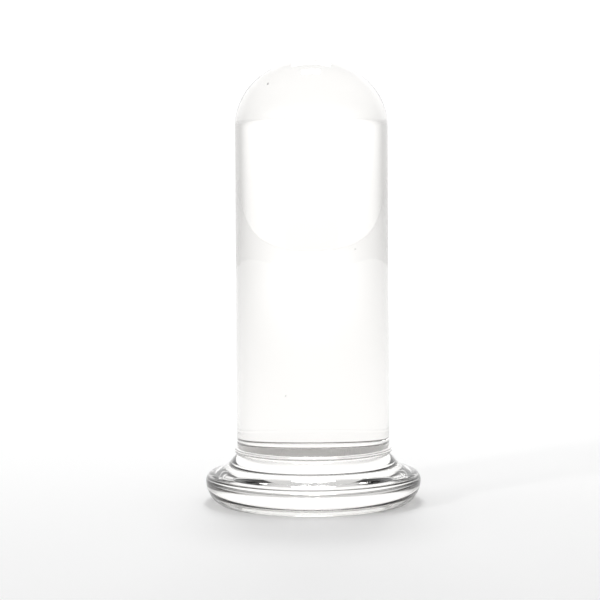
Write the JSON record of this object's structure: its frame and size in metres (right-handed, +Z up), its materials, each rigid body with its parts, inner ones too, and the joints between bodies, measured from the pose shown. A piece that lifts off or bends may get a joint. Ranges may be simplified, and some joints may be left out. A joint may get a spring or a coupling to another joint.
{
  "type": "domed glass column",
  "caption": "Solid clear-glass column with a domed top, standing on a flared foot with a rolled rim and stepped rings; flat underside.",
  "frame": {"origin": "centre of the flat underside of the foot, on the resting surface", "axes": "+Z up along the axis of revolution, from the foot to the dome; X and Y are interchangeable, because the part is round about Z"},
  "size_m": [0.0718, 0.0718, 0.1475],
  "materials": {
    "clear_glass": "clear, fire-polished borosilicate glass"
  },
  "bodies": {
    "root": {"foot": "clear_glass", "step_ring": "clear_glass", "neck_ring": "clear_glass", "shaft": "clear_glass"}
  },
  "joints": []
}
